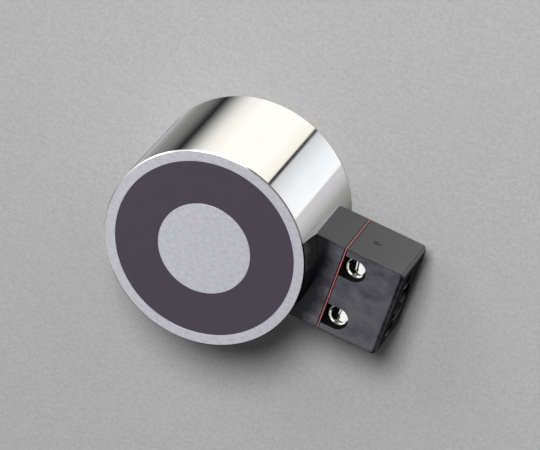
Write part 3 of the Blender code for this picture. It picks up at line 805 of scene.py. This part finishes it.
# Glow below the horizon by the direction's angle round Z, as (degrees, brightness, blue tint), once
# round from GLOW_START: what the pot's polished side mirrors
GLOW_START = -120
LOW_GLOW = (
    # dark on the block's side, with a slow rise
    (-118, 0.02, 0), (-60, 0.02, 0), (-40, 0.12, 0), (-25, 0.26, 0), (-9, 0.38, 0), (0, 0.55, 0.02),
    (8, 0.66, 0.02), (14.5, 0.70, 0.03), (15.5, 0.50, 0.02),
    # the narrower box, which dims across its width
    (16.8, 1.15, 0.05), (40, 1.05, 0.05), (58, 0.80, 0.05), (62.2, 0.72, 0.05),
    # the dark gap between the two boxes
    (63.0, 0.02, 0), (66.0, 0.02, 0),
    # the large warm box, which fades out at its far edge
    (67.0, 1.05, -0.06), (84, 1.18, -0.03), (128, 1.17, -0.02), (144, 1.02, -0.02), (152, 0.82, -0.02),
    (160, 0.50, 0), (168, 0.19, 0), (174.5, 0.02, 0),
    # a weak glow on the side away from the block
    (178, 0.03, 0), (184, 0.11, 0), (192, 0.19, 0), (208, 0.27, 0), (224, 0.40, 0), (236, 0.56, 0),
    (239, 0.25, 0),
)

# Above the horizon: an even glow and soft boxes, as (aim, reach and soft edge in degrees, brightness,
# blue tint), then one dark patch, and the boxes before it, whose edges divide a polished face's reflection
SKY_GLOW = 0.2
HIGH_BOXES = (
    ((-0.36, 0.77, 0.50), 17, 9, 2.6, 0),
    ((0.42, 0.20, 0.88), 20, 3, 1.3, 0),
    ((-0.80, 0.50, 0.33), 26, 6, 0.85, 0),
)
DARK_PATCH = ((0.62, -0.62, 0.48), 48.5, 1.5)
NEAR_BOXES = (
    ((-0.75, -0.30, 0.59), 46, 1.5, 1.1, 0.04),
    ((0.50, -0.20, 0.83), 14, 2, 1.0, 0),
    ((0.60, -0.49, 0.635), 7.5, 1.5, 1.0, 0),
)
HORIZON = 0.125  # half the height over which the low glow turns into the high one

# Lamps that light without showing in the gloss, as (name, aim, distance, size, power)
SOFT_LAMPS = (
    ("key lamp", (-0.01, 0.61, 0.79), 1.5, 0.44, 44),
    ("left broad lamp", (-0.50, 0.62, 0.60), 1.0, 0.5, 3.6),
    ("right broad lamp", (0.35, 0.75, 0.56), 1.6, 0.5, 2.5),
)


def grey(value, tint):
    """A grey of that brightness, bluer or, with a negative tint, warmer."""
    return (value * (1 - tint * 0.5), value, value * (1 + tint))


class Sky(Nodes):
    """The world's glow by direction, in soft boxes and dark patches."""

    def __init__(self, tree):
        super().__init__(tree)
        self.direction = self.node("ShaderNodeTexCoord", {}).outputs["Generated"]

    def patch(self, aim, reach, soft):
        """1 inside a round patch of sky, 0 outside."""
        along = self.node("ShaderNodeVectorMath", {0: self.direction, 1: Vector(aim).normalized()})
        along.operation = "DOT_PRODUCT"
        inside = self.node("ShaderNodeMapRange", {
            "Value": along.outputs["Value"],
            "From Min": math.cos(math.radians(reach + soft)),
            "From Max": math.cos(math.radians(reach - soft)),
        })
        inside.interpolation_type = "SMOOTHSTEP"
        return inside.outputs["Result"]

    def vectors(self, operation, first, second):
        node = self.node("ShaderNodeVectorMath", {0: first, 1: second})
        node.operation = operation
        return node.outputs["Vector"]

    def with_boxes(self, glow, boxes):
        for aim, reach, soft, value, tint in boxes:
            box_glow = self.vectors("MULTIPLY", grey(value, tint), self.patch(aim, reach, soft))
            glow = self.vectors("ADD", glow, box_glow)
        return glow

    def mixed(self, share, first, second):
        """The first colour, turning into the second as the share goes to 1."""
        node = self.node("ShaderNodeMix", {0: share})
        node.data_type = "RGBA"
        ends = [socket for socket in node.inputs if socket.type == "RGBA"]
        self.give(first, ends[0])
        self.give(second, ends[1])
        return next(socket for socket in node.outputs if socket.type == "RGBA")


def make_sky():
    """The large soft boxes round the part, which only its gloss shows."""
    world = bpy.data.worlds.new("studio")
    bpy.context.scene.world = world
    world.use_nodes = True
    world.cycles_visibility.diffuse = False
    sky = Sky(world.node_tree)
    x, y, z = sky.node("ShaderNodeSeparateXYZ", {"Vector": sky.direction}).outputs
    azimuth = sky.calculate("ADD", sky.calculate("ARCTAN2", y, x), math.radians(-GLOW_START))
    turned = sky.calculate("FRACT", sky.calculate("DIVIDE", azimuth, math.tau))
    stops = [((degrees - GLOW_START) / 360, grey(value, tint)) for degrees, value, tint in LOW_GLOW]
    low = sky.blend(turned, stops)
    high = sky.with_boxes(grey(SKY_GLOW, 0), HIGH_BOXES)
    high = sky.vectors("MULTIPLY", high, sky.calculate("SUBTRACT", 1.0, sky.patch(*DARK_PATCH)))
    high = sky.with_boxes(high, NEAR_BOXES)
    share = sky.spread(z, 0, 1, -HORIZON, HORIZON)
    background = sky.tree.nodes["Background"]
    sky.give(sky.mixed(share, low, high), background.inputs["Color"])
    background.inputs["Strength"].default_value = 1.0


def make_lamps():
    """The soft lamps round the part, aimed at its middle."""
    for name, aim, distance, size, power in SOFT_LAMPS:
        lamp = bpy.data.lights.new(name, "AREA")
        lamp.shape = "DISK"
        lamp.size = size
        lamp.energy = power
        holder = bpy.data.objects.new(name, lamp)
        toward = Vector(aim).normalized()
        turn = toward.to_track_quat("Z", "Y").to_matrix().to_4x4()
        holder.matrix_world = Matrix.Translation(toward * distance) @ turn
        holder.visible_glossy = False
        bpy.context.scene.collection.objects.link(holder)


def make_camera():
    """The view of the photograph: from above the pole face, rolled until the block hangs to the right."""
    middle = Vector((0.01138, 0.00903, -0.00756))
    distance = 1.0836
    azimuth, elevation, roll = math.radians(72.54), math.radians(57.853), math.radians(-139.592)
    lens = bpy.data.cameras.new("camera")
    lens.sensor_width = 36
    lens.lens = 310.2
    lens.clip_start = 0.05
    lens.clip_end = 10
    camera = bpy.data.objects.new("camera", lens)
    turn = Matrix.Rotation(azimuth + math.pi / 2, 4, "Z")
    tilt = Matrix.Rotation(math.pi / 2 - elevation, 4, "X")
    back_off = Matrix.Translation((0, 0, distance))
    camera.matrix_world = (
        Matrix.Translation(middle) @ turn @ tilt @ Matrix.Rotation(roll, 4, "Z") @ back_off)
    bpy.context.scene.collection.objects.link(camera)
    bpy.context.scene.camera = camera


def main():
    moulding = moulded_black()
    zinc = plated("zinc_plating", (0.70, 0.71, 0.72), 0.2)
    tinned = plated("tinned_wire", (0.68, 0.67, 0.64), 0.3)
    drawn_brass = brass()
    sleeve = soft_plastic("sleeve_tube", (0.10, 0.10, 0.11), 0.5, 0.0002)
    make_pot(plated_side(), ground_face(), faced_back())
    make_resin(cast_resin())
    make_base(moulding)
    make_sheet(red_fibre())
    make_housing(moulding, well_shade_black())
    make_terminal_screws(plated("screw_plating", (0.72, 0.705, 0.66), 0.07))
    make_fixing_screw(zinc)
    surfaces = {
        "coil_bobbin": soft_plastic("spool_plastic", (0.60, 0.56, 0.46), 0.5, 0.0003),
        "coil_winding": wound_copper(),
        "winding_tape": soft_plastic("winding_tape", (0.70, 0.54, 0.10), 0.35, 0.0004),
        "plain_washer": zinc,
        "spring_washer": zinc,
    }
    for side in TERMINALS:
        surfaces[f"lead_wire_{side}"] = tinned
        surfaces[f"lead_sleeve_{side}"] = sleeve
        surfaces[f"clamp_plate_{side}"] = zinc
        surfaces[f"terminal_bar_{side}"] = drawn_brass
    carry_over(surfaces)
    make_floor()
    make_sky()
    make_lamps()
    make_camera()
    view = bpy.context.scene.view_settings
    view.view_transform = "Standard"
    view.look = "None"
    bpy.context.scene.cycles.use_denoising = True


main()
